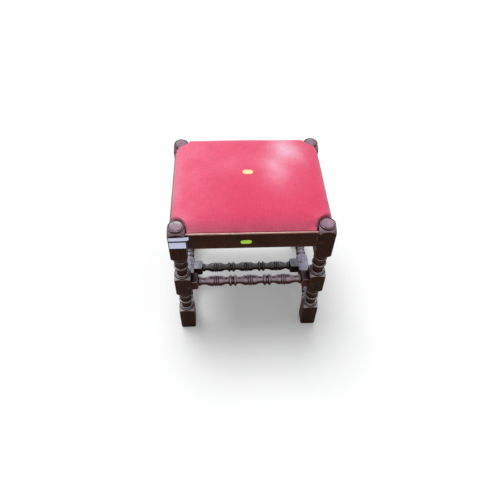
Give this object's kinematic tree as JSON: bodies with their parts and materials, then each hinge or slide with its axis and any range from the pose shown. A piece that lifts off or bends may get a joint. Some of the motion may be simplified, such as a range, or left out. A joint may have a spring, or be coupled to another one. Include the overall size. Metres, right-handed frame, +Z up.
{
  "type": "upholstered footstool",
  "caption": "Turned-leg footstool with a padded drop-in seat, joined rails, turned upper stretchers and a low H-shaped set of turned stretchers.",
  "frame": {"origin": "on the floor, under the middle of the stool", "axes": "+X to the right and +Y to the back as the stool is seen in the picture, +Z up"},
  "size_m": [0.423, 0.3692, 0.4613],
  "materials": {
    "dark_oak": "dark stained and waxed oak, worn lighter along the edges",
    "red_oak": "redder stained and waxed oak with a soft shine",
    "peg_oak": "dark end grain, flush with the leg",
    "beech": "plain sawn and unfinished",
    "jute_webbing": "woven jute",
    "hessian": "open woven hessian",
    "stuffing": "matted fibre",
    "red_cloth": "closely woven matt red upholstery cloth",
    "black_cloth": "thin black lining cloth"
  },
  "bodies": {
    "stool_frame": {"leg_front_left": "dark_oak", "leg_front_right": "dark_oak", "leg_back_left": "dark_oak", "leg_back_right": "dark_oak", "rail_front": "dark_oak", "rail_back": "dark_oak", "rail_left": "dark_oak", "rail_right": "dark_oak", "stretcher_front_upper": "red_oak", "stretcher_back_upper": "red_oak", "stretcher_cross_lower": "dark_oak", "stretcher_left_lower": "dark_oak", "stretcher_right_lower": "dark_oak", "peg_rail_front_left": "peg_oak", "peg_rail_front_right": "peg_oak", "peg_rail_back_left": "peg_oak", "peg_rail_back_right": "peg_oak", "peg_rail_left_front": "peg_oak", "peg_rail_left_back": "peg_oak", "peg_rail_right_front": "peg_oak", "peg_rail_right_back": "peg_oak", "peg_front_upper_left": "peg_oak", "peg_front_upper_right": "peg_oak", "peg_back_upper_left": "peg_oak", "peg_back_upper_right": "peg_oak", "peg_cross_lower_left": "peg_oak", "peg_cross_lower_right": "peg_oak", "peg_left_lower_front": "peg_oak", "peg_left_lower_back": "peg_oak", "peg_right_lower_front": "peg_oak", "peg_right_lower_back": "peg_oak"},
    "drop_in_seat": {"seat_frame_left": "beech", "seat_frame_right": "beech", "seat_frame_front": "beech", "seat_frame_back": "beech", "webbing_long_1": "jute_webbing", "webbing_long_2": "jute_webbing", "webbing_long_3": "jute_webbing", "webbing_short_1": "jute_webbing", "webbing_short_2": "jute_webbing", "webbing_short_3": "jute_webbing", "seat_hessian": "hessian", "seat_stuffing": "stuffing", "seat_cover": "red_cloth", "seat_dust_cloth": "black_cloth"}
  },
  "joints": [
    {"name": "seat_lift", "type": "slide", "parent": "stool_frame", "child": "drop_in_seat", "axis": [0, 0, 1], "range_m": [0, 0.08]}
  ]
}
